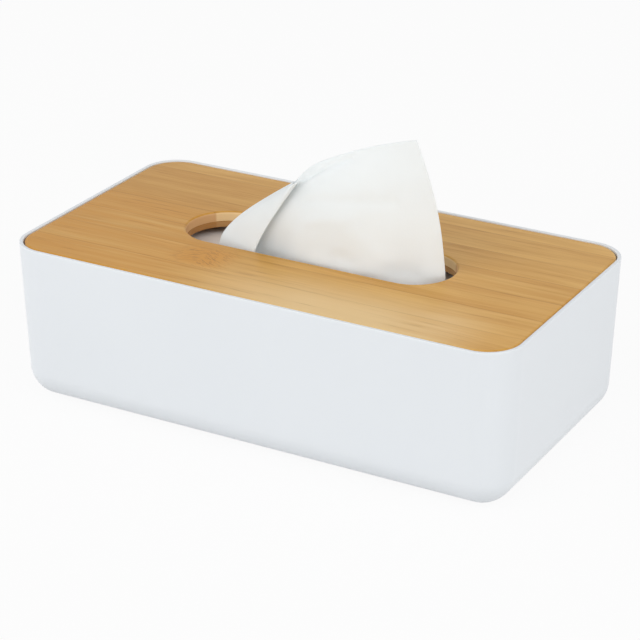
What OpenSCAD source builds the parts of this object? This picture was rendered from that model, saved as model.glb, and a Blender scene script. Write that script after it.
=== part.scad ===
// Tissue box holder: a moulded open box, a two-ply bamboo lid let into its rim with a long
// rounded slot, and the folded tissues inside, with the first sheet drawn up through the slot.
// Millimetres, +Z up, X along the box. The origin is the middle of the underside.

/* [Box] */
// Length over the rim
box_l = 260; // [230:2:320]
// Width over the rim
box_w = 140; // [124:2:180]
// Height of the box
box_h = 79; // [70:1:110]
// Radius of the upright corners at the rim
corner_r = 18; // [17:0.5:24]
// How far each side leans in between the rim and the foot
draft = 2.9; // [1:0.1:4]
// Wall thickness, floor included
wall = 1.8; // [1.4:0.1:2.4]
// Radius of the rounded foot
foot_r = 15; // [8:0.5:18]
// Rounding along both edges of the rim
rim_round = 0.4; // [0.2:0.05:0.6]

/* [Lid seat] */
// How far the top of the lid lies below the rim
lid_recess = 0.1; // [0:0.1:2]
// How far the ribs that carry the lid stand out from the wall
rib_depth = 2.8; // [2:0.1:3.4]
// Thickness of a rib
rib_t = 2; // [1.4:0.1:3]
// Ribs along each long side
long_ribs = 3; // [2:1:4]
// Ribs along each short side
short_ribs = 2; // [2:1:3]
// From the end of a straight side to its first rib
rib_margin = 16; // [8:1:30]

/* [Lid] */
// Thickness of the bamboo face ply
panel_t = 5; // [4:0.5:8]
// Thickness of the darker ply glued under it
under_t = 3; // [2:0.5:5]
// Gap between the lid's edge and the wall
lid_gap = 0.4; // [0.3:0.05:0.8]
// Corner radius of the lid, larger than the wall's inside there, so that the gap opens
lid_r = 16.5; // [16:0.5:22]
// Rounding along the upper edges of the face ply
panel_round = 1.2; // [0.5:0.1:2]
// Gap between the under ply and the ribs
under_gap = 0.8; // [0.5:0.1:2]

/* [Slot] */
// Length of the slot, round ends included
slot_l = 140; // [110:2:170]
// Width of the slot
slot_w = 40; // [34:1:56]
// How far the slot's middle lies behind the lid's middle
slot_back = 1; // [-3:0.5:3]

/* [Tissues] */
// Length of the folded stack
stack_l = 205; // [150:1:210]
// Width of the folded stack
stack_w = 100; // [80:1:100]
// Room left between the stack and the lid
stack_room = 4.5; // [1.7:0.1:40]
// Folds that show on each long side of the stack
stack_folds = 12; // [6:1:16]
// Height of the first sheet's tip above the lid
pop_h = 64; // [40:1:80]
// Thickness of the first sheet, both plies and their creases
sheet_t = 0.8; // [0.5:0.1:1]
// Gap between the first sheet and the stack it lies on
sheet_gap = 0.4; // [0.3:0.1:0.8]

/* [Hidden] */
$fn = 96;

// How far a cutter reaches past what it cuts
over = 1;

// The wall leans by this angle, so its level thickness is a little more than the wall
lean = atan(draft / box_h);
wall_x = wall / cos(lean);
// The foot's rounding fits inside the upright corner, with this much of the corner left
corner_left = 0.4;
foot_max = (corner_r - draft) / (1 / cos(lean) - draft / box_h) - corner_left;
foot = min(foot_r, foot_max);
// Centre of the foot's rounding, measured inwards from the rim
bend_x = draft * (box_h - foot) / box_h + foot / cos(lean);

// Heights of the lid's faces
lid_top = box_h - lid_recess;
seat_z = lid_top - panel_t;
under_z = seat_z - under_t;

// Distance from the rim's outside to the wall's inner face at the seat, and to the ribs' faces
seat_wall = wall_x + lean_in(seat_z);
rib_face = seat_wall + rib_depth;

// Insets of the two plies from the rim's outside
panel_inset = wall_x + lid_gap;
under_inset = rib_face + under_gap;
// The under ply's corners follow the face ply's
under_r = lid_r - (under_inset - panel_inset);

// The stack stands on the floor
stack_top = under_z - stack_room;
stack_h = stack_top - wall;
fold_h = stack_h / stack_folds;
// A fold's radius as a share of its height, a little over a half so that each runs into the next
fold_share = 0.58;
fold_r = fold_share * fold_h;

// The first sheet: its lower half lies spread on the stack, the other half rises through the slot
slot_hl = slot_l / 2;
slot_hw = slot_w / 2;
lie_z = stack_top + sheet_gap + sheet_t / 2;
// How far the half that lies on the stack stays inside the stack's outline
sheet_in = 4.5;
lie_hl = stack_l / 2 - sheet_in;
lie_hw = stack_w / 2 - sheet_in;
// Shares of the way from its outer edge to the slot where the sheet is pulled level
SPREAD = [0.40, 0.92];
// The sheet runs up from the stack to its place in the slot at this far below the lid's top
straight = 2.5;
// Cells of the sheet's grid across it and along it
across = 60;
along = 24;
// Plan of the sheet's outer edge on the stack, from its front right end round the left to the
// back, as shares of the lying half's half length and half width
STACK_PLAN = [
    [1.00, -0.40], [1.00, -0.80], [0.80, -1.00], [0.50, -1.00], [0.20, -1.00], [0.00, -1.00],
    [-0.14, -1.00], [-0.22, -1.00], [-0.34, -1.00], [-0.60, -1.00], [-0.85, -1.00],
    [-1.00, -0.80], [-1.00, -0.20], [-1.00, 0.50], [-0.80, 1.00], [0.00, 1.00]
];
// Plan of the sheet where it rises from the stack, from its free right edge round the left fold
// to the hidden edge, as shares of the slot's half length and half width
FOOT_PLAN = [
    [0.94, 0.02], [0.85, -0.36], [0.56, -0.72], [0.22, -0.84], [-0.029, -0.725], [-0.171, -0.525],
    [-0.264, -0.42], [-0.314, -0.62], [-0.364, -0.96], [-0.429, -0.88], [-0.571, -0.67],
    [-0.75, -0.43], [-0.70, 0.10], [-0.46, 0.42], [-0.18, 0.52], [0.12, 0.56]
];
// The same plan in the lid's slot, where the left fold lies over the front panel
SLOT_PLAN = [
    [0.94, 0.02], [0.85, -0.36], [0.56, -0.72], [0.22, -0.84], [-0.086, -0.825], [-0.176, -0.205],
    [-0.489, -0.625], [-0.465, -0.652], [-0.329, -1.00], [-0.414, -0.90], [-0.571, -0.67],
    [-0.764, -0.46], [-0.714, 0.10], [-0.46, 0.42], [-0.18, 0.52], [0.12, 0.56]
];
// The free top edge, from the tip, in the same shares and as a share of the tip's height
TOP_EDGE = [
    [0.76, -0.30, 1.00], [0.63, -0.33, 0.966], [0.46, -0.33, 0.905], [0.262, -0.30, 0.814],
    [0.09, -0.24, 0.722], [-0.106, 0.136, 0.567], [-0.157, -0.353, 0.47], [-0.047, -0.42, 0.584],
    [-0.097, -0.507, 0.522], [-0.095, -0.593, 0.531], [-0.107, -0.565, 0.525],
    [-0.191, -0.10, 0.468], [-0.171, 0.11, 0.481], [-0.045, 0.23, 0.5525], [0.13, 0.28, 0.63],
    [0.34, 0.30, 0.68]
];
// Shares of the way from the slot to the top edge where the sheet bellies out, and of how much
BELLY = [[0.28, 0.8], [0.55, 1.0], [0.80, 0.6]];
// How far the front panel bellies forwards, where across the sheet, and over what half width
belly_front = 4;
front_at = 0.28;
front_half = 0.20;
// How far the free right edge bellies out, and over what share of the sheet
belly_edge = 3.6;
edge_share = 0.30;
// How far the left fold bellies out, where across the sheet, and over what half width
belly_left = 2;
left_at = 0.72;
left_half = 0.12;

// How far the outer face has leant in at height z
function lean_in(z) = draft * (box_h - z) / box_h;

// The inner face of the wall at height z, outwards from the upright corner's axis
function inner_x(z) = corner_r - wall_x - lean_in(z);

// Carries a flat section (x outwards from the corner's axis, y up) round a rounded rectangle
module around(l, w, r) {
    for (half = [0, 180]) {
        rotate(half) translate([-(l / 2 - r), -(w / 2 - r), 0])
            rotate([90, 0, 90]) linear_extrude(l - 2 * r) mirror([1, 0]) children();
        rotate(half) translate([l / 2 - r, -(w / 2 - r), 0])
            rotate(90) rotate([90, 0, 90]) linear_extrude(w - 2 * r) mirror([1, 0]) children();
    }
    for (corner = [[1, 1, 0], [-1, 1, 90], [-1, -1, 180], [1, -1, 270]]) {
        translate([corner[0] * (l / 2 - r), corner[1] * (w / 2 - r), 0]) rotate(corner[2])
            rotate_extrude(angle = 90) children();
    }
}

// A flat core that fills the middle left by around()
module core(l, w, r, t) {
    translate([-(l / 2 - r), -(w / 2 - r), 0]) cube([l - 2 * r, w - 2 * r, t]);
}

module stadium(l, w) {
    square([l - w, w], center = true);
    for (end = [-1, 1]) translate([end * (l - w) / 2, 0]) circle(d = w);
}

// What a rounding of radius r about the point c takes off between the directions from and to
module eased(c, r, from, to) {
    reach = 3 * r;
    difference() {
        polygon([c, c + reach * from, c + reach * (from + to), c + reach * to]);
        translate(c) circle(r);
    }
}

// Moulded wall, rounded foot and floor as one flat section
module wall_section() {
    out = [cos(lean), -sin(lean)];
    bend = [corner_r - bend_x, foot];
    rim_z = box_h - rim_round;
    rim_mid = inner_x(rim_z) + wall_x / 2;
    rim_half = wall_x / 2 - rim_round / cos(lean);
    difference() {
        polygon([[0, 0], [corner_r - draft, 0], [corner_r, box_h], [0, box_h]]);
        eased(bend, foot, out, [0, -1]);
        eased([rim_mid + rim_half, rim_z], rim_round, out, [0, 1]);
        eased([rim_mid - rim_half, rim_z], rim_round, -out, [0, 1]);
        difference() {
            polygon([
                [-over, wall],
                [inner_x(wall), wall],
                [inner_x(box_h + over), box_h + over],
                [-over, box_h + over]
            ]);
            eased(bend, foot - wall, out, [0, -1]);
        }
    }
}

// One rib's side, x inwards from the rim's outside: from the seat down the wall into the foot
module rib_section() {
    mid_r = foot - wall / 2;
    turn = acos(min(1, (bend_x - rib_face) / mid_r));
    polygon([
        [lean_in(seat_z) + wall_x / 2, seat_z],
        [rib_face, seat_z],
        [rib_face, foot - mid_r * sin(turn)],
        [bend_x - mid_r * cos(lean), foot - mid_r * sin(lean)]
    ]);
}

// Ribs standing across a straight side of length run, whose outside lies at distance off
module rib_row(run, off, count) {
    span = run - 2 * rib_margin;
    for (i = [0 : count - 1]) {
        translate([-span / 2 + span * i / (count - 1) - rib_t / 2, -off, 0])
            rotate([90, 0, 90]) linear_extrude(rib_t) rib_section();
    }
}

module box_body() {
    color([0.90, 0.92, 0.93]) union() {
        around(box_l, box_w, corner_r) wall_section();
        core(box_l, box_w, corner_r, wall);
        for (half = [0, 180]) {
            rotate(half) rib_row(box_l - 2 * corner_r, box_w / 2, long_ribs);
            rotate(half + 90) rib_row(box_w - 2 * corner_r, box_l / 2, short_ribs);
        }
    }
}

// A board of thickness t whose upper outer edge has rounding e, standing on z = 0
module board(l, w, r, t, e) {
    around(l, w, r) difference() {
        square([r, t]);
        translate([r - e, t - e]) difference() {
            square(e + over);
            circle(e);
        }
    }
    core(l, w, r, t);
}

// Cutter for the slot: a stadium that flares at the top by the rounding e
module slot_cutter(t, e) {
    translate([0, 0, -over]) linear_extrude(t + 2 * over) stadium(slot_l, slot_w);
    straight = slot_l - slot_w;
    for (half = [0, 180]) {
        rotate(half) translate([-straight / 2, 0, 0])
            rotate([90, 0, 90]) linear_extrude(straight) slot_edge(t, e);
        rotate(half) translate([straight / 2, 0, 0]) rotate(-90)
            rotate_extrude(angle = 180) slot_edge(t, e);
    }
}

// The flare of the slot's upper edge, x outwards from the slot's middle line
module slot_edge(t, e) {
    translate([slot_hw - e, t - e]) difference() {
        square([2 * e, e + over]);
        translate([2 * e, 0]) circle(e);
    }
}

module lid_panel() {
    color([0.83, 0.66, 0.43]) translate([0, 0, seat_z]) difference() {
        board(box_l - 2 * panel_inset, box_w - 2 * panel_inset, lid_r, panel_t, panel_round);
        translate([0, slot_back, 0]) slot_cutter(panel_t, panel_round);
    }
}

module lid_under_ply() {
    color([0.66, 0.45, 0.25]) translate([0, 0, under_z]) difference() {
        linear_extrude(under_t)
            rounded_square(box_l - 2 * under_inset, box_w - 2 * under_inset, under_r);
        translate([0, slot_back, -over]) linear_extrude(under_t + 2 * over) stadium(slot_l, slot_w);
    }
}

module rounded_square(l, w, r) {
    square([l - 2 * r, w], center = true);
    square([l, w - 2 * r], center = true);
    for (x = [-1, 1], y = [-1, 1]) translate([x * (l / 2 - r), y * (w / 2 - r)]) circle(r);
}

module tissue_stack() {
    // End view of the stack: rounded folds one on another, level top and bottom
    color([0.93, 0.92, 0.90]) translate([-stack_l / 2, 0, wall]) rotate([90, 0, 90])
        linear_extrude(stack_l) intersection() {
            translate([-stack_w / 2, 0]) square([stack_w, stack_h]);
            union() {
                translate([-stack_w / 2 + fold_r, 0]) square([stack_w - 2 * fold_r, stack_h]);
                for (i = [0 : stack_folds - 1], side = [-1, 1])
                    translate([side * (stack_w / 2 - fold_r), (i + 0.5) * fold_h]) circle(fold_r);
            }
        }
}

// Cubic curve pulled by the points P, its ends on the first and the last of them
function pull_point(P, i) = i < 0 ? 2 * P[0] - P[1]
    : i > len(P) - 1 ? 2 * P[len(P) - 1] - P[len(P) - 2]
    : P[i];
function pulled(P, i, f) = (pow(1 - f, 3) * pull_point(P, i - 1)
    + (3 * pow(f, 3) - 6 * f * f + 4) * pull_point(P, i)
    + (-3 * pow(f, 3) + 3 * f * f + 3 * f + 1) * pull_point(P, i + 1)
    + pow(f, 3) * pull_point(P, i + 2)) / 6;
function curve(P, t) = let(x = t * (len(P) - 1), i = min(floor(x), len(P) - 2)) pulled(P, i, x - i);

function mix(a, b, share) = a + (b - a) * share;
// A smooth swell of height 1 about the share at, of that half width
function swell(u, at, half) = exp(-pow((u - at) / half, 2));

// The line that the sheet's fibre at share u across it follows, from the stack to the top edge
function fibre(u) =
    let(
        lie = curve(STACK_PLAN, u),
        low = curve(FOOT_PLAN, u),
        plan = curve(SLOT_PLAN, u),
        edge = curve(TOP_EDGE, u),
        out_x = lie[0] * lie_hl,
        out_y = lie[1] * lie_hw,
        foot_x = low[0] * slot_hl,
        foot_y = slot_back + low[1] * slot_hw,
        in_x = plan[0] * slot_hl,
        in_y = slot_back + plan[1] * slot_hw,
        root = [in_x, in_y, lid_top],
        tip = [edge[0] * slot_hl, slot_back + edge[1] * slot_hw, lid_top + edge[2] * pop_h],
        belly = [
            belly_edge * pow(max(0, 1 - u / edge_share), 2) - belly_left * swell(u, left_at, left_half),
            -belly_front * swell(u, front_at, front_half),
            0
        ]
    )
    concat(
        [[out_x, out_y, lie_z]],
        [for (s = SPREAD) [mix(out_x, foot_x, s), mix(out_y, foot_y, s), lie_z]],
        [[foot_x, foot_y, lie_z], [in_x, in_y, lid_top - straight]],
        [for (b = BELLY) mix(root, tip, b[0]) + b[1] * belly],
        [tip]
    );

function sheet_grid() = [
    for (i = [0 : across])
        let(path = fibre(i / across)) [for (j = [0 : along]) curve(path, j / along)]
];
function unit(v) = v / norm(v);
function normal_at(g, i, j) = unit(cross(
    g[min(i + 1, across)][j] - g[max(i - 1, 0)][j],
    g[i][min(j + 1, along)] - g[i][max(j - 1, 0)]
));

// A sheet of thickness sheet_t on the grid: both faces, then the four edges that close it
module top_tissue() {
    g = sheet_grid();
    row = along + 1;
    size = (across + 1) * row;
    points = [
        for (side = [-1, 1], i = [0 : across], j = [0 : along])
            g[i][j] + side * sheet_t / 2 * normal_at(g, i, j)
    ];
    faces = [
        for (i = [0 : across - 1], j = [0 : along - 1]) let(a = i * row + j, b = a + row)
            for (f = [
                [a, b, b + 1], [a, b + 1, a + 1],
                [size + a, size + b + 1, size + b], [size + a, size + a + 1, size + b + 1]
            ]) f,
        for (i = [0 : across - 1]) let(a = i * row, b = a + row)
            for (f = [
                [a, size + a, size + b], [a, size + b, b],
                [a + along, b + along, size + b + along], [a + along, size + b + along, size + a + along]
            ]) f,
        for (j = [0 : along - 1]) let(b = across * row + j)
            for (f = [
                [j, j + 1, size + j + 1], [j, size + j + 1, size + j],
                [b, size + b, size + b + 1], [b, size + b + 1, b + 1]
            ]) f
    ];
    color([0.96, 0.96, 0.95]) polyhedron(points, faces, convexity = 10);
}

box_body();
lid_panel();
lid_under_ply();
tissue_stack();
top_tissue();
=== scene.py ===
"""Tissue box holder: a moulded white box, a two-ply bamboo lid let into its rim and the tissues in it.

Lengths are in metres, +Z is up and X runs along the box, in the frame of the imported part.
"""

import math

import bmesh
import bpy
import numpy as np
from bpy.props import FloatProperty, FloatVectorProperty, IntProperty, PointerProperty
from mathutils import Matrix, Vector


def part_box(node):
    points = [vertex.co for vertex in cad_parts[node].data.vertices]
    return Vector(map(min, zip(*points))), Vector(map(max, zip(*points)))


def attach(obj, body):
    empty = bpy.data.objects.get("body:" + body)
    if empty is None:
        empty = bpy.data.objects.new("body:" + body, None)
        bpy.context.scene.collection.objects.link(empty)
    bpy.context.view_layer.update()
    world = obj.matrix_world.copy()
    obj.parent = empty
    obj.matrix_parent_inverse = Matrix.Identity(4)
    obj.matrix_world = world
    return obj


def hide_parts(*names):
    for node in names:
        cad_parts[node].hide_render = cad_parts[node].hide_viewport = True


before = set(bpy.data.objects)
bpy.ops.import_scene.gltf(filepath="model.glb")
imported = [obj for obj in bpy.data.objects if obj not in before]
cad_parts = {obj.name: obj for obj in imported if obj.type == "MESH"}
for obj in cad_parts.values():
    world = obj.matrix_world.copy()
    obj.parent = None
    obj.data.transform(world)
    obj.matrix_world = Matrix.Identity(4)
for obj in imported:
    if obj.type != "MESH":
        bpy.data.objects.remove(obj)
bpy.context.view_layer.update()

bl_info = {
    "name": "Tissue box holder",
    "version": (1, 0, 0),
    "blender": (4, 5, 0),
    "location": "3D View > Sidebar > Tissue Box",
    "description": "Builds a moulded tissue box with a bamboo lid, its tissues and a plain studio",
    "category": "Add Mesh",
}

BOX_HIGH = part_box("box_body")[1]
PANEL_LOW, PANEL_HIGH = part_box("lid_panel")
UNDER_LOW, UNDER_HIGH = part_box("lid_under_ply")
STACK_LOW, STACK_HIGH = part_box("tissue_stack")
SHEET_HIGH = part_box("top_tissue")[1]
MM = 0.001
# Points nearer than this are one point
WELD = 2e-6
# Steps round each corner of a rounded rectangle and along each of its sides
CORNER_STEPS, SIDE_STEPS = 20, 24


def length(name, description, default, least=0.0):
    """A length property, in metres."""
    return FloatProperty(
        name=name,
        description=description,
        default=default,
        min=least,
        precision=5,
        subtype="DISTANCE",
        unit="LENGTH",
    )


def share(name, description, default):
    """A property from 0 to 1."""
    return FloatProperty(
        name=name, description=description, default=default, min=0, max=1, precision=3, subtype="FACTOR"
    )


def colour(name, description, default):
    """A colour property, in linear values."""
    return FloatVectorProperty(
        name=name, description=description, default=default, size=3, min=0, max=1, subtype="COLOR"
    )


def whole(name, description, default, least, most):
    """A property that is a whole number between two limits."""
    return IntProperty(name=name, description=description, default=default, min=least, max=most)


def turn(name, description, degrees):
    """An angle property, whose default is given in degrees."""
    return FloatProperty(name=name, description=description, default=math.radians(degrees), subtype="ANGLE")


def watts(name, description, default):
    """A property for a lamp's power."""
    return FloatProperty(name=name, description=description, default=default, min=0, unit="POWER")


class BoxSettings(bpy.types.PropertyGroup):
    """Sizes and finish of the moulded box."""

    corner: length("Corner radius", "Radius of the upright corners at the rim", 0.018)
    draft: length("Draft", "How far each side leans in between the rim and the foot", 0.0029)
    wall: length("Wall", "Thickness of the wall and floor", 0.0018)
    foot: length("Foot radius", "Radius of the rounded foot", 0.015)
    rim: length("Rim rounding", "Rounding along both edges of the rim", 0.0004)
    rib_depth: length("Rib depth", "How far the ribs stand out from the wall", 0.0028)
    rib_width: length("Rib width", "Thickness of a rib", 0.002)
    rib_edge: length("Rib edge", "Rounding along the front edges of a rib", 0.0003)
    rib_margin: length("Rib margin", "From the end of a straight side to its first rib", 0.016)
    long_ribs: whole("Long side ribs", "Ribs along each long side", 3, 2, 4)
    short_ribs: whole("Short side ribs", "Ribs along each short side", 2, 2, 3)
    plastic: colour("Plastic", "Colour of the moulded plastic", (0.735, 0.765, 0.795))
    clear: colour("Clear plastic", "Paler colour that the plastic varies towards", (0.90, 0.92, 0.93))
    gloss: share("Roughness", "Roughness of the plastic", 0.38)


class LidSettings(bpy.types.PropertyGroup):
    """Sizes and finish of the bamboo lid."""

    corner: length("Corner radius", "Corner radius of the face ply", 0.0165)
    rounding: length("Edge rounding", "Rounding along the upper edges of the face ply", 0.0012)
    arris: length("Arris", "Rounding along the other edges", 0.0003)
    slot_length: length("Slot length", "Length of the slot, round ends included", 0.140)
    slot_width: length("Slot width", "Width of the slot", 0.040)
    slot_back: length("Slot offset", "How far the slot's middle lies behind the lid's middle", 0.001)
    strip: length("Strip width", "Width of one bamboo strip", 0.0208)
    strip_start: length("Strip start", "Y of one joint between strips", -0.0063, least=-0.1)
    pale: colour("Pale bamboo", "Colour of the palest wood", (0.69, 0.40, 0.108))
    deep: colour("Deep bamboo", "Colour of the deepest wood", (0.52, 0.255, 0.040))
    # Paler wood along the front edge, partly a painted reflection of the tissue in front of the slot
    light: colour("Light strip", "Colour of the wood along the front edge", (0.79, 0.57, 0.29))
    warm: colour("Warm bamboo", "Colour of the wood near the ends and the node", (0.59, 0.265, 0.025))
    # Paler cut wood, made paler still as painted light on the slot's lit back wall
    cut: colour("Back cut", "Colour of the slot's back wall, cut along the grain", (0.90, 0.64, 0.34))
    end: colour("Other cuts", "Colour of the slot's ends and the other cut faces", (0.72, 0.42, 0.20))
    fibre: colour("Fibres", "Colour of the dark fibres and the marks at a node", (0.22, 0.080, 0.012))
    under: colour("Under ply", "Colour of the darker ply", (0.36, 0.145, 0.025))
    under_share: share("Under ply share", "How far the lower ply goes towards that colour", 0.75)
    gloss: share("Roughness", "Roughness of the lacquer", 0.36)
    shine: share("Shine", "Specular level of the lacquer", 0.22)


class TissueSettings(bpy.types.PropertyGroup):
    """Sizes and finish of the tissues."""

    folds: whole("Folded tissues", "Folded tissues in the stack", 34, 4, 60)
    fold_corner: length("Fold corner", "Corner radius of a folded tissue", 0.002)
    fold_edge: length("Fold edge", "How far the round edge of a folded tissue reaches in", 0.0012)
    fold_short: length("Fold shortness", "The most that a folded tissue stops short on a side", 0.0012)
    fold_gap: length("Fold gap", "Gap between two folded tissues", 0.00004)
    paper: colour("Paper", "Colour of the paper", (0.95, 0.98, 0.99))
    # Painted shade with a painted glow from the wood, for the paper below the lid
    inner: colour("Paper in the box", "Colour below the lid, in the glow of the wood", (0.95, 0.90, 0.86))
    grey: colour("Grey paper", "Colour that the paper varies towards", (0.80, 0.79, 0.77))
    through: share("Light through", "Share of the light that goes through the paper", 0.38)
    thickness: length("Thickness", "Thickness of the drawn sheet", 0.0003)
    gap: length("Gap", "From the stack to the middle of the drawn sheet", 0.0008)
    edge_in: length("Edge inset", "How far the sheet stays inside the stack's outline", 0.0045)
    straight: length("Slot depth", "How far below the lid's top the sheet is at its slot plan", 0.0025)
    width: length("Flat width", "Width that the drawn sheet was cut to", 0.195)
    length: length("Flat length", "Length that the drawn sheet was cut to", 0.135)


class StageSettings(bpy.types.PropertyGroup):
    """Camera, floor and light."""

    azimuth: turn("Azimuth", "Camera's turn round the box", 29.15)
    elevation: turn("Elevation", "Camera's height angle", 24.231)
    roll: turn("Roll", "Camera's roll", 0.053)
    distance: length("Distance", "From the middle of the box to the camera", 1.100992)
    aim_right: length("Aim right", "How far the camera stands to the right of its aim", 0.000953)
    aim_up: length("Aim up", "How far the camera stands above its aim", 0.001725)
    lens: FloatProperty(name="Lens", description="Focal length", default=130.11, min=1, unit="CAMERA")
    dome: FloatProperty(name="Dome", description="Strength of the light from all round", default=0.52, min=0)
    front: watts("Front lamp", "Power of the lamp in front of the box", 21)
    side: watts("Side lamp", "Power of the lamp beyond the right end", 18)
    left: watts("Left lamp", "Power of the lamp beyond the left end", 5)


class Wire:
    """One output of a shader node. Arithmetic on it, also with plain numbers, adds a Math node."""

    def __init__(self, tree, socket):
        self.tree = tree
        self.socket = socket

    def maths(self, operation, *values, clamp=False):
        return self.tree.node("Math", {"operation": operation, "use_clamp": clamp}, dict(enumerate(values)))

    def __add__(self, other):
        return self.maths("ADD", self, other)

    __radd__ = __add__

    def __sub__(self, other):
        return self.maths("SUBTRACT", self, other)

    def __rsub__(self, other):
        return self.maths("SUBTRACT", other, self)

    def __mul__(self, other):
        return self.maths("MULTIPLY", self, other)

    __rmul__ = __mul__

    def __truediv__(self, other):
        return self.maths("DIVIDE", self, other)

    def __abs__(self):
        return self.maths("ABSOLUTE", self)

    def floor(self):
        return self.maths("FLOOR", self)

    def fract(self):
        return self.maths("FRACT", self)

    def least(self, other):
        return self.maths("MINIMUM", self, other)

    def clamped(self):
        return self.maths("ADD", self, 0.0, clamp=True)

    def ramp(self, low, high):
        """0 below low, 1 above high and smooth between; low may be the larger, which turns it round."""
        settings = {"interpolation_type": "SMOOTHSTEP"}
        return self.tree.node("MapRange", settings, {"Value": self, "From Min": low, "From Max": high})

    def xyz(self):
        return [self.tree.node("SeparateXYZ", {}, {0: self}, out) for out in range(3)]


class Shading:
    """The nodes of a new material or world. node() adds any node and gives back one of its outputs."""

    def __init__(self, data):
        data.use_nodes = True
        self.data = data
        self.nodes = data.node_tree.nodes
        self.links = data.node_tree.links
        self.nodes.clear()

    def node(self, kind, settings, values, out=0):
        """A node of this kind: settings first, then each socket's value or the Wire it is linked to."""
        made = self.nodes.new("ShaderNode" + kind)
        for name, value in settings.items():
            setattr(made, name, value)
        for socket, value in values.items():
            if isinstance(value, Wire):
                self.links.new(value.socket, made.inputs[socket])
            elif not hasattr(value, "__len__"):
                made.inputs[socket].default_value = value
            else:
                size = len(made.inputs[socket].default_value)
                made.inputs[socket].default_value = (*value, 1.0)[:size] if size > len(value) else value
        return None if out is None else Wire(self, made.outputs[out])

    def scaled(self, vector, scales):
        """A vector with each part times the number for it."""
        return self.node("VectorMath", {"operation": "MULTIPLY"}, {0: vector, 1: scales})

    def combine(self, x, y, z):
        return self.node("CombineXYZ", {}, {0: x, 1: y, 2: z})

    def noise(self, place, scale, detail=2.0, roughness=0.5):
        """Smooth noise of about 0 to 1 with features of 1 / scale."""
        values = {"Vector": place, "Scale": scale, "Detail": detail, "Roughness": roughness}
        return self.node("TexNoise", {}, values)

    def chance(self, number):
        """A random number from 0 to 1 that belongs to this whole number."""
        return self.node("TexWhiteNoise", {"noise_dimensions": "1D"}, {"W": number})

    def mix(self, factor, a, b):
        """The colour a, with b over it by this factor. The node's sockets 6, 7 and 2 are its colours."""
        return self.node("Mix", {"data_type": "RGBA"}, {0: factor, 6: a, 7: b}, out=2)

    def place(self):
        """Object coordinates in millimetres."""
        return self.scaled(self.node("TexCoord", {}, {}, out="Object"), (1 / MM, 1 / MM, 1 / MM))

    def bump(self, height, distance, strength, normal=None):
        """A normal pushed about by this height, which is in shares of the distance in metres."""
        values = {"Height": height, "Distance": distance, "Strength": strength}
        if normal is not None:
            values["Normal"] = normal
        return self.node("Bump", {}, values)

    def finish(self, surface, output="OutputMaterial"):
        """The material or world, with this shader as its surface."""
        self.node(output, {}, {"Surface": surface}, out=None)
        return self.data


def arc(centre, radius, start, end, steps):
    """Points (out, z) on an arc. Angles are in degrees, from straight out towards straight up."""
    angles = np.radians(np.linspace(start, end, steps + 1))
    return np.c_[centre[0] + radius * np.cos(angles), centre[1] + radius * np.sin(angles)]


def eased(steps):
    """Shares between 0 and 1, without them, that are close together at both ends: half of 1 - cos."""
    return (1 - np.cos(np.linspace(0, math.pi, steps + 1)[1:-1])) / 2


def between(start, end, steps):
    """Points on the straight line between two points, without them, in eased steps."""
    return start + eased(steps)[:, None] * (np.asarray(end) - start)


def flat_rows(steps, reach, z):
    """Rows (share, out, z) of a flat face at height z, from its middle to just before out is reach."""
    shares = np.linspace(0, 1, steps + 1)[:-1]
    return np.c_[shares, shares * reach, np.full(steps, z)]


def rounded_path(half_l, half_w, radius, arc_steps=CORNER_STEPS, side_steps=SIDE_STEPS):
    """Once round a rounded rectangle, counterclockwise: corner centres, and directions outwards.

    A point at distance d from its corner's centre is centre + d * direction. At a corner the direction
    turns through a quarter in even steps, and along a side the centre moves on to the next corner in
    eased steps."""
    quarter = np.linspace(0, math.pi / 2, arc_steps + 1)
    moves = np.r_[np.zeros(arc_steps + 1), eased(side_steps)]
    corners = np.array([(1, 1), (-1, 1), (-1, -1), (1, -1)]) * (half_l - radius, half_w - radius)
    centres, ways = [], []
    for turn, (here, there) in enumerate(zip(corners, np.roll(corners, -1, axis=0))):
        angles = np.r_[quarter, np.full(side_steps - 1, quarter[-1])] + turn * math.pi / 2
        centres.append(here + moves[:, None] * (there - here))
        ways.append(np.c_[np.cos(angles), np.sin(angles)])
    return np.concatenate(centres), np.concatenate(ways)


def carried(section, path):
    """A section of rows (share, out, z) carried round a path.

    Each point is share times the corner's centre plus out times the direction there, at height z. A share
    that falls to 0 draws the surface in to the middle."""
    centres, ways = path
    share_, out, z = (column[:, None, None] for column in np.asarray(section).T)
    flat = share_ * centres + out * ways
    return np.concatenate([flat, np.broadcast_to(z, flat.shape[:2] + (1,))], axis=2)


def cubic(points, shares):
    """Uniform cubic B-spline along the first axis of an array of points, from end point to end point.

    Each result is four neighbouring control points in the basis weights of the place between the middle
    two. The ends are reached by carrying the row of control points on in a straight line."""
    ends = 2 * points[0] - points[1], 2 * points[-1] - points[-2]
    row = np.concatenate([ends[0][None], points, ends[1][None]])
    place = np.asarray(shares) * (len(points) - 1)
    first = np.minimum(place.astype(int), len(points) - 2)
    t = (place - first).reshape((-1,) + (1,) * (points.ndim - 1))
    weights = (1 - t) ** 3, 3 * t**3 - 6 * t**2 + 4, -3 * t**3 + 3 * t**2 + 3 * t + 1, t**3
    return sum(w * row[first + k] for k, w in enumerate(weights)) / 6


def grid_faces(rows, columns, close_rows, close_columns, start=0):
    """The four corners of every cell of a grid whose points are numbered row by row."""
    i = np.arange(rows if close_rows else rows - 1)[:, None]
    j = np.arange(columns if close_columns else columns - 1)[None, :]
    below, right = (i + 1) % rows, (j + 1) % columns
    corners = i * columns + j, below * columns + j, below * columns + right, i * columns + right
    return start + np.stack([np.broadcast_to(c, (i.size, j.size)) for c in corners], axis=2).reshape(-1, 4)


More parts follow.
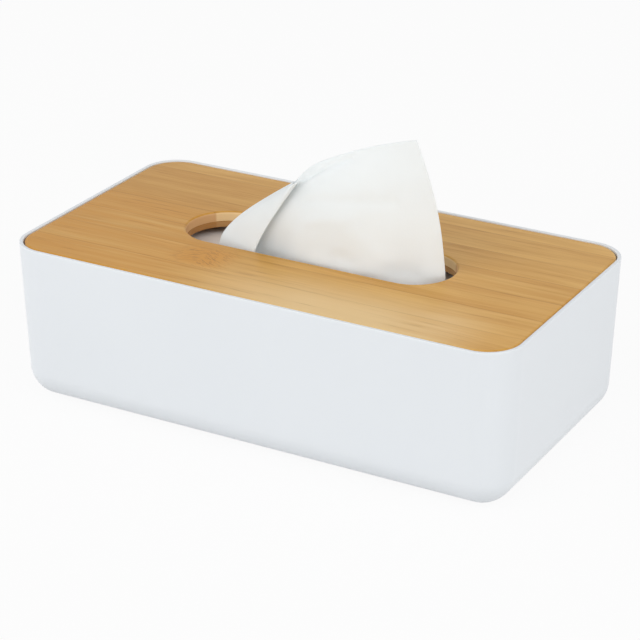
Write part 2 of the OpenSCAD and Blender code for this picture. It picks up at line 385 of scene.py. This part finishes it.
def piece(name, grids, body, material, close_rows=False, close_columns=True, weld=True):
    """A smooth mesh object from grids of points (rows, columns, 3), which rides on a body.

    With weld, points that fall together become one, cells with no area go, and the faces point outwards."""
    points, faces, count = [], [], 0
    for grid in grids:
        faces.append(grid_faces(*grid.shape[:2], close_rows, close_columns, count))
        points.append(grid.reshape(-1, 3))
        count += len(points[-1])
    mesh = bpy.data.meshes.new(name)
    mesh.from_pydata(np.concatenate(points), [], np.concatenate(faces).tolist())
    if weld:
        work = bmesh.new()
        work.from_mesh(mesh)
        bmesh.ops.remove_doubles(work, verts=work.verts, dist=WELD)
        bmesh.ops.recalc_face_normals(work, faces=work.faces)
        work.to_mesh(mesh)
        work.free()
    mesh.shade_smooth()
    mesh.materials.append(material)
    made = bpy.data.objects.new(name, mesh)
    bpy.context.scene.collection.objects.link(made)
    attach(made, body)
    return made


class BoxShape:
    """Values that the moulded box's section and its ribs share."""

    # Steps of the grid round the foot inside and outside, round each edge of the rim, up the wall, from
    # the middle of the floor to the foot, round each front edge of a rib and up a rib
    INNER_FOOT, OUTER_FOOT, RIM, WALL, FLOOR, RIB_EDGE, RIB = 14, 18, 5, 12, 7, 4, 14

    def __init__(self, s):
        self.s = s
        self.half_l, self.half_w = BOX_HIGH.x, BOX_HIGH.y
        self.height = BOX_HIGH.z
        self.lean = math.atan(s.draft / self.height)
        self.wall_x = s.wall / math.cos(self.lean)
        self.foot = s.foot
        self.bend_in = self.lean_in(self.foot) + self.foot / math.cos(self.lean)

    def lean_in(self, z):
        """How far the outer face has leant in at height z."""
        return self.s.draft * (self.height - z) / self.height

    def section(self):
        """Rows (share, out, z) from the middle of the floor up the inside, over the rim and down outside."""
        s, lean = self.s, math.degrees(self.lean)
        bend = s.corner - self.bend_in, self.foot
        rim_z = self.height - s.rim
        rim_mid = s.corner - self.lean_in(rim_z) - self.wall_x / 2
        rim_half = self.wall_x / 2 - s.rim / math.cos(self.lean)
        inner_foot = arc(bend, self.foot - s.wall, -90, -lean, self.INNER_FOOT)
        inner_rim = arc((rim_mid - rim_half, rim_z), s.rim, 180 - lean, 90, self.RIM)
        outer_rim = arc((rim_mid + rim_half, rim_z), s.rim, 90, -lean, self.RIM)
        outer_foot = arc(bend, self.foot, -lean, -90, self.OUTER_FOOT)
        inside = np.r_[inner_foot, between(inner_foot[-1], inner_rim[0], self.WALL), inner_rim]
        outside = np.r_[outer_rim, between(outer_rim[-1], outer_foot[0], self.WALL), outer_foot]
        wall = np.r_[inside, outside]
        floor = flat_rows(self.FLOOR, bend[0], s.wall)
        underside = flat_rows(self.FLOOR, bend[0], 0)[::-1]
        return np.r_[floor, np.c_[np.ones(len(wall)), wall], underside]

    def rib(self, seat_z):
        """One rib as a grid (height, round its outline) of (along the wall, in from the rim, z).

        The outline is an oblong with two rounded front corners. Its back runs down the middle of the wall
        and then round the foot's rounding, until it meets the straight front face."""
        s = self.s
        middle_r = self.foot - s.wall / 2
        face = self.wall_x + self.lean_in(seat_z) + s.rib_depth
        angle = math.acos(min(1.0, (self.bend_in - face) / middle_r))
        z = np.linspace(self.foot - middle_r * math.sin(angle), seat_z, self.RIB)
        drop = np.clip((self.foot - z) / middle_r, 0, 1)
        round_back = self.bend_in - middle_r * np.sqrt(1 - drop**2)
        back = np.where(z < self.foot, round_back, self.lean_in(z) + self.wall_x / 2)
        quarter = (arc((0, 0), 1, 0, 90, self.RIB_EDGE) - 1) * s.rib_edge
        front = np.c_[1 + quarter[:, 0] / s.rib_depth, s.rib_width / 2 + quarter[:, 1]]
        half = np.r_[front, [[0, s.rib_width / 2]]]
        outline = np.r_[half, half[::-1] * (1, -1)]
        inset = back[:, None] + (face - back)[:, None] * outline[:, 0]
        along = np.broadcast_to(outline[:, 1], inset.shape)
        grid = np.stack([along, inset, np.broadcast_to(z[:, None], inset.shape)], axis=2)
        return np.concatenate([grid, np.broadcast_to(grid[-1].mean(0), (1,) + grid.shape[1:])])

    def ribs(self, seat_z):
        """Every rib, in place: each rib is set along the front, and each side is turned on by a quarter."""
        s, rib = self.s, self.rib(seat_z)
        sides = (self.half_l, self.half_w, s.long_ribs), (self.half_w, self.half_l, s.short_ribs)
        grids = []
        for quarter in range(4):
            run, off, ribs = sides[quarter % 2]
            span = run - s.corner - s.rib_margin
            onwards = np.array(Matrix.Rotation(quarter * math.pi / 2, 3, "Z"))
            for along in np.linspace(-span, span, ribs):
                grids.append((rib + (along, -off, 0)) @ onwards.T)
        return grids


# Steps of a board's grid round its upper edges, round its arrises and up its sides
EDGE_STEPS, ARRIS_STEPS, RISE_STEPS = 6, 3, 8
# Shares of the way across a board's flat faces, close together at both ends
ACROSS = np.r_[0.004, 0.012, np.linspace(0.03, 0.97, 12), 0.988, 0.996]


def board(thickness, low, edge, arris, corner, outside, slot):
    """A board with a slot as one closed grid.

    Every row is a rounded rectangle between the slot's outline and the board's. The rows go over the top
    from the slot outwards, down the side, in along the underside and up the slot's wall. A row (share,
    off, z) lies that share of the way from the slot, which has grown by off, to the outside, which has
    shrunk by off."""
    round_top = arc((edge, thickness - edge), edge, 180, 90, EDGE_STEPS)
    round_low = arc((arris, arris), arris, 180, 270, ARRIS_STEPS)
    one = np.ones_like(ACROSS)
    lines = (
        (0, round_top),
        (ACROSS, np.c_[one * edge, one * thickness]),
        (1, round_top[::-1]),
        (1, between(round_top[0], round_low[0], RISE_STEPS)),
        (1, round_low),
        (ACROSS[::-1], np.c_[one * arris, one * 0]),
        (0, round_low[::-1]),
        (0, between(round_low[0], round_top[0], RISE_STEPS)),
    )
    rows = np.concatenate([np.c_[np.broadcast_to(where, len(line)), line] for where, line in lines])
    share_, off, z = (column[:, None, None] for column in rows.T)
    inner = slot["middle"] + slot["centres"] + (slot["radius"] + off) * slot["ways"]
    outer = outside[0] + (corner - off) * outside[1]
    flat = inner + share_ * (outer - inner)
    return np.concatenate([flat, np.broadcast_to(z + low, flat.shape[:2] + (1,))], axis=2)


# Plan of the sheet's outer edge on the stack, from its front right end round the left to the back,
# as shares of the lying half's half length and half width
STACK_PLAN = np.array([
    (1.00, -0.40), (1.00, -0.80), (0.80, -1.00), (0.50, -1.00), (0.20, -1.00), (0.00, -1.00),
    (-0.14, -1.00), (-0.22, -1.00), (-0.34, -1.00), (-0.60, -1.00), (-0.85, -1.00),
    (-1.00, -0.80), (-1.00, -0.20), (-1.00, 0.50), (-0.80, 1.00), (0.00, 1.00),
])
# Plan of the sheet where it rises from the stack, from its free right edge round the left fold to the
# hidden edge, as shares of the slot's half length and half width
FOOT_PLAN = np.array([
    (0.94, 0.02), (0.85, -0.36), (0.56, -0.72), (0.22, -0.84), (-0.029, -0.725), (-0.171, -0.525),
    (-0.264, -0.42), (-0.314, -0.62), (-0.364, -0.96), (-0.429, -0.88), (-0.571, -0.67),
    (-0.75, -0.43), (-0.70, 0.10), (-0.46, 0.42), (-0.18, 0.52), (0.12, 0.56),
])
# The same plan in the lid's slot, where the left fold lies over the front panel
SLOT_PLAN = np.array([
    (0.94, 0.02), (0.85, -0.36), (0.56, -0.72), (0.22, -0.84), (-0.086, -0.825), (-0.176, -0.48),
    (-0.489, -0.625), (-0.465, -0.652), (-0.329, -1.00), (-0.414, -0.90), (-0.571, -0.67),
    (-0.764, -0.46), (-0.714, 0.10), (-0.46, 0.42), (-0.18, 0.52), (0.12, 0.56),
])
# The free top edge, from the tip, in the same shares and as a share of the tip's height
TOP_EDGE = np.array([
    (0.76, -0.30, 1.00), (0.63, -0.33, 0.966), (0.46, -0.33, 0.905), (0.262, -0.30, 0.814),
    (0.09, -0.24, 0.722), (-0.10, 0.03, 0.59), (-0.157, -0.353, 0.47), (-0.047, -0.42, 0.584),
    (-0.097, -0.507, 0.522), (-0.095, -0.593, 0.531), (-0.107, -0.565, 0.525), (-0.191, -0.10, 0.468),
    (-0.171, 0.11, 0.481), (-0.045, 0.23, 0.5525), (0.13, 0.28, 0.63), (0.34, 0.30, 0.68),
])
# Shares of the way from its outer edge to its foot where the sheet is pulled level
SPREAD = 0.40, 0.92
# Shares of the way from the slot to the top edge where the sheet bellies out, each with its share of
# the bellies below
BELLY = (0.28, 0.8), (0.55, 1.0), (0.80, 0.6)
# How far the free right edge bellies out to the right, and over what share of the sheet that fades
BELLY_EDGE = 3.6 * MM, 0.30
# How far the left fold bellies out to the left, where across the sheet, and over what half width
BELLY_LEFT = 2.0 * MM, 0.72, 0.12
# The same for the front panel, to the front
BELLY_FRONT = 4.0 * MM, 0.28, 0.20
# And for the recess beside the left fold, to the front as well, which keeps it shallow
BELLY_RECESS = 2.2 * MM, 0.335, 0.035
# Soft folds of the risen half: two places (share across, share of the rise) that a fold runs between,
# its half width, and how far it stands out, or in where that is below 0
FOLDS = (
    ((0.310, 0.83), (0.270, 0.89), 1.8 * MM, -0.9 * MM),
    ((0.270, 0.89), (0.190, 0.93), 1.8 * MM, -0.8 * MM),
    ((0.280, 0.55), (0.100, 0.52), 2.6 * MM, -0.50 * MM),
    ((0.250, 0.36), (0.180, 0.40), 3.0 * MM, 0.5 * MM),
    ((0.190, 0.34), (0.117, 0.10), 3.0 * MM, 0.4 * MM),
    ((0.229, 0.03), (0.217, 0.03), 4.0 * MM, 0.9 * MM),
    ((0.151, 0.04), (0.140, 0.04), 5.0 * MM, 0.8 * MM),
    ((0.028, 0.00), (0.000, 0.00), 6.0 * MM, 0.8 * MM),
    ((0.187, 0.09), (0.177, 0.08), 3.0 * MM, -0.9 * MM),
    ((0.107, 0.02), (0.079, 0.00), 4.0 * MM, -1.0 * MM),
)
# Lengths that one share across and one share of the rise come to, for the folds
FOLD_SCALE = np.array((200 * MM, 50 * MM))
# Share of the rise, below the slot, over which the folds fade out
FOLD_FADE = 0.2


def swell(u, at, half):
    """A smooth swell of height 1 about the share at, of that half width: exp(-((u - at) / half) ** 2)."""
    return np.exp(-(((u - at) / half) ** 2))


def folded_out(u, rise):
    """How far the folds push the sheet out at the grid of shares across it and of its rise.

    Each fold is depth * exp(-(d / half) ** 2), where d is the distance to its line."""
    place = np.stack(np.meshgrid(u, rise), axis=2) * FOLD_SCALE
    out = np.zeros(place.shape[:2])
    for start, end, half, depth in FOLDS:
        start, end = np.array(start) * FOLD_SCALE, np.array(end) * FOLD_SCALE
        way = end - start
        along = np.clip((place - start) @ way / (way @ way), 0, 1)
        distance = np.linalg.norm(place - start - along[..., None] * way, axis=2)
        out += depth * swell(distance, 0, half)
    return out


def drawn_sheet(lid, tissue, across=360, along=216):
    """The first sheet as a grid (along its fibres, across them).

    Each fibre is a cubic curve. It runs level from the sheet's outer edge on the stack to its foot, then up
    through the slot, and bellies out on its way to the free top edge. Its outer end, its foot, its place in
    the slot and its upper end are four more cubic curves across the sheet. The folds then push the risen
    half out along its normals."""
    u = np.linspace(0, 1, across + 1)
    one = np.ones_like(u)
    half_l, half_w = lid.slot_length / 2, lid.slot_width / 2
    lie, low, plan, edge = (cubic(table, u) for table in (STACK_PLAN, FOOT_PLAN, SLOT_PLAN, TOP_EDGE))
    top = PANEL_HIGH.z
    lie_z = STACK_HIGH.z + tissue.gap
    out = lie * (STACK_HIGH.x - tissue.edge_in, STACK_HIGH.y - tissue.edge_in)
    foot, inside = (table * (half_l, half_w) + (0, lid.slot_back) for table in (low, plan))
    root = np.c_[inside, one * top]
    tip_plan = edge[:, :2] * (half_l, half_w) + (0, lid.slot_back)
    tip = np.c_[tip_plan, top + edge[:, 2] * (SHEET_HIGH.z - top)]
    right = BELLY_EDGE[0] * np.clip(1 - u / BELLY_EDGE[1], 0, 1) ** 2
    right -= BELLY_LEFT[0] * swell(u, *BELLY_LEFT[1:])
    forwards = sum(depth * swell(u, at, half) for depth, at, half in (BELLY_FRONT, BELLY_RECESS))
    belly = np.c_[right, -forwards, 0 * u]
    pulls = [np.c_[out + (foot - out) * share_, one * lie_z] for share_ in (0, *SPREAD, 1)]
    pulls.append(np.c_[inside, one * (top - tissue.straight)])
    pulls += [root + (tip - root) * rise + much * belly for rise, much in BELLY]
    pulls.append(tip)
    v = np.linspace(0, 1, along + 1)
    grid = cubic(np.array(pulls), v)
    # The place in the slot is half way along the pulls, so the rise goes from 0 there to 1 at the edge
    rise = 2 * v - 1
    normals = np.cross(np.gradient(grid, axis=0), np.gradient(grid, axis=1))
    normals /= np.linalg.norm(normals, axis=2, keepdims=True)
    out = folded_out(u, rise) * np.clip(1 + rise / FOLD_FADE, 0, 1)[:, None]
    return grid + normals * out[..., None]


# The layers of the bamboo's grain: length and width of their features in mm, detail and roughness of
# their noise, and their weight in the tone
GRAIN = {
    "clouds": (60, 14.0, 1.0, 0.50, 1.0),
    "bands": (90, 4.5, 2.0, 0.50, 1.1),
    "streaks": (38, 1.5, 3.0, 0.60, 1.0),
    "fibres": (14, 0.5, 3.0, 0.65, 0.6),
}
# How far the tone differs from strip to strip, and how much deeper it gets per mm towards the left
STRIP_TONE, SLOPE_TONE = 0.25, 0.0016
# How far apart in the grain two strips may lie, along and across, and how far the grain wanders across,
# in mm, with the scales of the noise that it wanders by
STRIP_ALONG, STRIP_ACROSS, WANDER, WANDER_SCALES = 400, 90, 5, (0.012, 0.03, 0.03)
# Added to a strip's number for its two random numbers, half a number off so that rounding can't matter
FIRST_CHANCE, SECOND_CHANCE = 0.5, 37.5
# Wood with a colour of its own, and paler wood in front of the slot that is partly a painted reflection of
# the tissue: the setting with the colour, its strength, the bands that it keeps to, and ramps (axis, low,
# high) over X as 0 or Y as 1, in mm
STAINS_AND_REFLECTION = (
    # Paler front wood, partly a painted reflection of the tissue in the lacquer in front of the slot
    ("light", 0.80, None, ((1, -22, -60), (0, -45, 30), (0, 122, 84))),
    ("warm", 0.22, (0.30, 0.60), ((0, 58, 84), (1, 34, 4))),
    ("warm", 0.65, (0.25, 0.60), ((0, -20, -60), (1, 30, 0))),
)
# The dark dashes: where the streaks, the fibres and the bands let them show, and their strength
DASHES = (0.56, 0.70), (0.40, 0.60), (0.40, 0.60), 0.36
# The node: its place, its fading reach along and across, length and width of its specks in mm, how far
# its lines bend, the noise that makes a speck, and the strengths of the patch and of the specks
NODE_PLACE, NODE_REACH, NODE_SPECK = (-41, -36), ((20, 4), (15, 6)), (4.0, 0.7)
NODE_BEND, NODE_NOISE, NODE_STRENGTH = 0.45, (0.52, 0.64), (0.95, 0.55)
# The joints: their fading half width as a share of a strip, the bands that they keep to, their strength
JOINTS = (0.030, 0.004), (0.35, 0.60), 0.28
# The cut faces: how upright their normals are, where in Y the back wall's colour begins, their strength.
# The back wall's paler colour is partly painted light
CUTS = (0.75, 0.35), (14.0, 14.8), 0.9


def white_plastic(s):
    """Satin moulded plastic: a fine even grain, a faint long waviness and gloss that varies a little."""
    m = Shading(bpy.data.materials.new("white_plastic"))
    here = m.place()
    grain = m.noise(here, scale=2.6, detail=3.0, roughness=0.6)
    wave = m.noise(here, scale=0.02, detail=1.0)
    tone = m.noise(here, scale=0.012, detail=1.0)
    most_clear, gloss_range = 0.16, 0.06
    base = m.mix((tone * most_clear).clamped(), s.plastic, s.clear)
    normal = m.bump(wave, distance=0.6 * MM, strength=0.25)
    normal = m.bump(grain, distance=0.04 * MM, strength=0.35, normal=normal)
    rough = s.gloss + (grain - 0.5) * gloss_range
    values = {"Base Color": base, "Roughness": rough, "Normal": normal}
    return m.finish(m.node("BsdfPrincipled", {}, values))


def bamboo(s, name, depth):
    """Lacquered bamboo in strips along X. depth is how far it goes towards the under ply's colour.

    Every strip has its own tone and its own stretch of the grain, which is noise drawn out along the strip
    in four layers. Their weighted sum picks the wood's tone. Stained areas, paler wood in front of the slot
    with a painted reflection of the tissue, short dark dashes, one node and the joints between strips lie
    over it. The node, in front of the slot, is an orange patch with specks along lines that bend into a V.
    Faces that cut through the board have colours of their own; the slot's back wall is paler, partly as
    painted light."""
    m = Shading(bpy.data.materials.new(name))
    here = m.place()
    x, y, z = axes = here.xyz()
    strips = (y - s.strip_start / MM) / (s.strip / MM)
    strip = strips.floor()
    chance = m.chance(strip + FIRST_CHANCE)
    other = m.chance(strip + SECOND_CHANCE)
    wander = (m.noise(m.scaled(here, WANDER_SCALES), scale=1.0, detail=1.0) - 0.5) * WANDER
    grain = m.combine(x + chance * STRIP_ALONG, y + wander + other * STRIP_ACROSS, z)
    tone = (chance - 0.5) * STRIP_TONE - x * SLOPE_TONE
    layers = []
    for long, wide, detail, roughness, weight in GRAIN.values():
        drawn_out = m.scaled(grain, (1 / long, 1 / wide, 1 / wide))
        layers.append(m.noise(drawn_out, 1.0, detail, roughness))
        tone = tone + (layers[-1] - 0.5) * weight
    bands, streaks, fibres = layers[1:]
    wood = m.mix((tone + 0.5).clamped(), s.pale, s.deep)
    # The pale front entry paints the tissue's reflection into the wood's colour, over paler wood
    for setting, strength, kept, ramps in STAINS_AND_REFLECTION:
        stain_and_reflection = math.prod(axes[axis].ramp(low, high) for axis, low, high in ramps)
        if kept:
            stain_and_reflection = stain_and_reflection * bands.ramp(*kept)
        wood = m.mix(stain_and_reflection * strength, wood, getattr(s, setting))
    dashes = streaks.ramp(*DASHES[0]) * fibres.ramp(*DASHES[1]) * bands.ramp(*DASHES[2])
    wood = m.mix(dashes * DASHES[3], wood, s.fibre)
    # The node
    off = abs(x - NODE_PLACE[0])
    patch = off.ramp(*NODE_REACH[0]) * abs(y - NODE_PLACE[1]).ramp(*NODE_REACH[1])
    bent = m.combine(x / NODE_SPECK[0], (y + off * NODE_BEND) / NODE_SPECK[1], z)
    specks = m.noise(bent, scale=1.0).ramp(*NODE_NOISE)
    wood = m.mix(patch * NODE_STRENGTH[0], wood, s.warm)
    wood = m.mix(patch * specks * NODE_STRENGTH[1], wood, s.fibre)
    # The joints between strips
    side = strips.fract()
    joint = side.least(1 - side).ramp(*JOINTS[0])
    wood = m.mix(joint * bands.ramp(*JOINTS[1]) * JOINTS[2], wood, s.fibre)
    # Faces that cut through the board; the back wall's paler colour is partly painted light
    upright = m.node("TexCoord", {}, {}, out="Normal").xyz()[2]
    cut = abs(upright).ramp(*CUTS[0]) * CUTS[2]
    wood = m.mix(cut, wood, m.mix(y.ramp(*CUTS[1]), s.end, s.cut))
    wood = m.mix(depth, wood, s.under)
    joint_depth, gloss_range = 0.5, 0.10
    normal = m.bump(fibres - joint * joint_depth, distance=0.04 * MM, strength=0.3)
    rough = s.gloss + (fibres - 0.5) * gloss_range
    values = {"Base Color": wood, "Roughness": rough, "Specular IOR Level": s.shine, "Normal": normal}
    return m.finish(m.node("BsdfPrincipled", {}, values))


def tissue_paper(s, lid_z):
    """Soft tissue: a fluffy surface of short fibres that lets some light through.

    Its colour clouds over towards grey, and just below lid_z goes over to a darker, warmer colour: painted
    shade with a painted glow from the wood, for the paper in the box."""
    m = Shading(bpy.data.materials.new("tissue_paper"))
    here = m.place()
    z = here.xyz()[2]
    fluff = m.noise(here, scale=1.1, detail=4.0, roughness=0.65)
    cloud = m.noise(here, scale=0.06)
    most_grey, painted_shade_from, painted_shade_full = 0.2, lid_z / MM - 1, lid_z / MM - 8
    base = m.mix((cloud * most_grey).clamped(), s.paper, s.grey)
    # Painted shade and painted glow from the wood on the paper below the lid
    base = m.mix(z.ramp(painted_shade_from, painted_shade_full), base, s.inner)
    normal = m.bump(fluff, distance=0.12 * MM, strength=0.35)
    values = {"Base Color": base, "Roughness": 0.95, "Specular IOR Level": 0.2, "Normal": normal}
    front = m.node("BsdfPrincipled", {}, values)
    through = m.node("BsdfTranslucent", {}, {"Color": base, "Normal": normal})
    return m.finish(m.node("MixShader", {}, {0: s.through, 1: front, 2: through}))


class MESH_OT_tissue_box_body(bpy.types.Operator):
    """Build the moulded box with its ribs"""

    bl_idname = "mesh.tissue_box_body"
    bl_label = "Moulded Box"

    def execute(self, context):
        s = context.scene.tissue_box_body
        shape = BoxShape(s)
        plastic = white_plastic(s)
        grid = carried(shape.section(), rounded_path(shape.half_l, shape.half_w, s.corner))
        box = piece("moulded_box", [grid], "box", plastic)
        ribs = piece("lid_ribs", shape.ribs(PANEL_LOW.z), "box", plastic)
        for part in (box, ribs):
            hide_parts("box_body")
        return {"FINISHED"}


class MESH_OT_tissue_box_lid(bpy.types.Operator):
    """Build the two plies of the bamboo lid"""

    bl_idname = "mesh.tissue_box_lid"
    bl_label = "Bamboo Lid"

    def execute(self, context):
        s = context.scene.tissue_box_lid
        radius = s.slot_width / 2
        centres, ways = rounded_path(s.slot_length / 2, radius, radius)
        slot = {"centres": centres, "ways": ways, "radius": radius, "middle": (0, s.slot_back)}
        face = PANEL_LOW, PANEL_HIGH, s.rounding, s.corner, 0.0
        under = UNDER_LOW, UNDER_HIGH, s.arris, s.corner - (PANEL_HIGH.x - UNDER_HIGH.x), s.under_share
        plies = (
            ("face_ply", "lid_panel", "bamboo_face", *face),
            ("under_ply", "lid_under_ply", "bamboo_under", *under),
        )
        for name, node, finish, low, high, edge, corner, depth in plies:
            outside = rounded_path(high.x, high.y, corner)
            grid = board(high.z - low.z, low.z, edge, s.arris, corner, outside, slot)
            made = piece(name, [grid], "lid", bamboo(s, finish, depth), close_rows=True)
            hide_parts(node)
        return {"FINISHED"}


class MESH_OT_tissue_box_tissues(bpy.types.Operator):
    """Build the folded stack and the sheet that is drawn up through the slot"""

    bl_idname = "mesh.tissue_box_tissues"
    bl_label = "Tissues"

    def execute(self, context):
        s = context.scene.tissue_box_tissues
        lid = context.scene.tissue_box_lid
        paper = tissue_paper(s, PANEL_LOW.z)
        stack = piece("folded_tissues", self.folded(s), "box", paper)
        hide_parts("tissue_stack")
        grid = drawn_sheet(lid, s)
        sheet = piece("first_tissue", [grid], "box", paper, close_columns=False, weld=False)
        rows, columns = grid.shape[:2]
        across, along = np.linspace(0, s.width, columns), np.linspace(0, s.length, rows)
        place = np.stack(np.meshgrid(across, along), axis=2)
        layer = sheet.data.uv_layers.new(name="flat")
        order = np.empty(len(sheet.data.loops), np.int32)
        sheet.data.loops.foreach_get("vertex_index", order)
        layer.data.foreach_set("uv", place.reshape(-1, 2)[order].ravel())
        wall = sheet.modifiers.new("thickness", "SOLIDIFY")
        wall.thickness = s.thickness
        wall.offset = 0
        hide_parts("top_tissue")
        return {"FINISHED"}

    def folded(self, s):
        """The stack: folded tissues one on another.

        Each is a flat pad with a soft round edge, and falls short of the stack's outline by its own chance
        lengths."""
        seed, corner_steps, side_steps, edge_steps, flat_steps = 7, 4, 12, 8, 3
        random = np.random.default_rng(seed)
        low, high = STACK_LOW, STACK_HIGH
        each = (high.z - low.z) / s.folds
        nose = (each - s.fold_gap) / 2
        grids = []
        for k in range(s.folds):
            short, narrow = random.uniform(0, s.fold_short, 2)
            path = rounded_path(high.x - short, high.y - narrow, s.fold_corner, corner_steps, side_steps)
            edge = arc((0, 0), 1, -90, 90, edge_steps) * (s.fold_edge, nose)
            edge += s.fold_corner - s.fold_edge, 0
            lower, upper = (flat_rows(flat_steps, edge[0][0], z) for z in (-nose, nose))
            section = np.r_[lower, np.c_[np.ones(len(edge)), edge], upper[::-1]]
            grids.append(carried(section, path) + (0, 0, low.z + (k + 0.5) * each))
        return grids


# Square area lamps: the setting with the power, the side in metres, azimuth and elevation in degrees,
# and the distance in metres
LAMPS = (
    ("front", 2.0, -18, 25, 2.0),
    ("side", 1.8, 86, 25, 2.0),
    ("left", 1.5, -75, 26, 2.0),
)
# Width of the camera's sensor in mm, and the nearest distance that it sees in metres
SENSOR_WIDTH, CLIP_START = 36, 0.01
# Colour of the floor as it is lit, how white it shows where it is seen, and its half length in metres
FLOOR_COLOUR, FLOOR_WHITE, FLOOR_REACH = (0.75, 0.75, 0.75), 0.92, 6.0
WHITE = 1.0, 1.0, 1.0


class SCENE_OT_tissue_box_stage(bpy.types.Operator):
    """Set up the floor, the light and the camera"""

    bl_idname = "scene.tissue_box_stage"
    bl_label = "Studio"

    def execute(self, context):
        s = context.scene.tissue_box_stage
        self.camera(context.scene, s)
        self.floor()
        context.scene.world = self.world(s)
        for name, size, azimuth, elevation, distance in LAMPS:
            self.lamp(name, getattr(s, name), size, azimuth, elevation, distance)
        context.scene.view_settings.view_transform = "Standard"
        return {"FINISHED"}

    def direction(self, azimuth, elevation):
        """The way to a place seen at these angles: azimuth 0 is in front of the box and 90 to its right."""
        flat = math.cos(elevation)
        return Vector((math.sin(azimuth) * flat, -math.cos(azimuth) * flat, math.sin(elevation)))

    def camera(self, scene, s):
        """The camera, turned by its roll about the way to the box and set off sideways from its aim."""
        back = self.direction(s.azimuth, s.elevation)
        level = Vector((0, 0, 1)).cross(back).normalized()
        upright = back.cross(level)
        right = level * math.cos(s.roll) + upright * math.sin(s.roll)
        up = upright * math.cos(s.roll) - level * math.sin(s.roll)
        place = Matrix((right, up, back)).transposed().to_4x4()
        middle = Vector((0, 0, BOX_HIGH.z / 2))
        place.translation = middle + right * s.aim_right + up * s.aim_up + back * s.distance
        data = bpy.data.cameras.new("camera")
        data.lens = s.lens
        data.sensor_width = SENSOR_WIDTH
        data.clip_start = CLIP_START
        made = bpy.data.objects.new("camera", data)
        made.matrix_world = place
        scene.collection.objects.link(made)
        scene.camera = made

    def seen(self, m):
        """1 for rays that show the background itself: straight, in a mirror or through glass."""
        kinds = "Is Camera Ray", "Is Glossy Ray", "Is Transmission Ray"
        return sum(m.node("LightPath", {}, {}, out=kind) for kind in kinds).clamped()

    def floor(self):
        """A large plane, which glows white where it is seen and is grey to the light that falls on it."""
        m = Shading(bpy.data.materials.new("floor"))
        lit = m.node("BsdfDiffuse", {}, {"Color": FLOOR_COLOUR})
        glow = m.node("Emission", {}, {"Color": WHITE, "Strength": 1.0})
        material = m.finish(m.node("MixShader", {}, {0: self.seen(m) * FLOOR_WHITE, 1: lit, 2: glow}))
        mesh = bpy.data.meshes.new("floor")
        corners = [(x * FLOOR_REACH, y * FLOOR_REACH, 0) for x, y in ((-1, -1), (1, -1), (1, 1), (-1, 1))]
        mesh.from_pydata(corners, [], [(0, 1, 2, 3)])
        mesh.materials.append(material)
        made = bpy.data.objects.new("floor", mesh)
        bpy.context.scene.collection.objects.link(made)

    def world(self, s):
        """A world that is white where it is seen and lights the box with the dome's strength."""
        m = Shading(bpy.data.worlds.new("studio"))
        dome = m.node("Background", {}, {"Color": WHITE, "Strength": s.dome})
        white = m.node("Background", {}, {"Color": WHITE, "Strength": 1.0})
        surface = m.node("MixShader", {}, {0: self.seen(m), 1: dome, 2: white})
        return m.finish(surface, "OutputWorld")

    def lamp(self, name, power, size, azimuth, elevation, distance):
        """A square area lamp that faces the box."""
        data = bpy.data.lights.new(name, "AREA")
        data.energy = power
        data.size = size
        way = self.direction(math.radians(azimuth), math.radians(elevation))
        made = bpy.data.objects.new(name, data)
        made.rotation_euler = way.to_track_quat("Z", "Y").to_euler()
        made.location = way * distance
        bpy.context.scene.collection.objects.link(made)


class VIEW3D_PT_tissue_box(bpy.types.Panel):
    """Lists the settings and the steps that build the tissue box"""

    bl_label = "Tissue Box"
    bl_space_type = "VIEW_3D"
    bl_region_type = "UI"
    bl_category = "Tissue Box"

    def draw(self, context):
        for group, operator in STEPS:
            column = self.layout.box().column()
            settings = getattr(context.scene, group)
            for name in settings.bl_rna.properties.keys():
                if name not in ("rna_type", "name"):
                    column.prop(settings, name)
            column.operator(operator)


GROUPS = {
    "tissue_box_body": BoxSettings,
    "tissue_box_lid": LidSettings,
    "tissue_box_tissues": TissueSettings,
    "tissue_box_stage": StageSettings,
}
STEPS = (
    ("tissue_box_body", "mesh.tissue_box_body"),
    ("tissue_box_lid", "mesh.tissue_box_lid"),
    ("tissue_box_tissues", "mesh.tissue_box_tissues"),
    ("tissue_box_stage", "scene.tissue_box_stage"),
)
CLASSES = (
    *GROUPS.values(),
    MESH_OT_tissue_box_body,
    MESH_OT_tissue_box_lid,
    MESH_OT_tissue_box_tissues,
    SCENE_OT_tissue_box_stage,
    VIEW3D_PT_tissue_box,
)


def register():
    for cls in CLASSES:
        bpy.utils.register_class(cls)
    for name, group in GROUPS.items():
        setattr(bpy.types.Scene, name, PointerProperty(type=group))


def unregister():
    for name in GROUPS:
        delattr(bpy.types.Scene, name)
    for cls in reversed(CLASSES):
        bpy.utils.unregister_class(cls)


def main():
    register()
    bpy.ops.mesh.tissue_box_body()
    bpy.ops.mesh.tissue_box_lid()
    bpy.ops.mesh.tissue_box_tissues()
    bpy.ops.scene.tissue_box_stage()


if __name__ == "__main__":
    main()
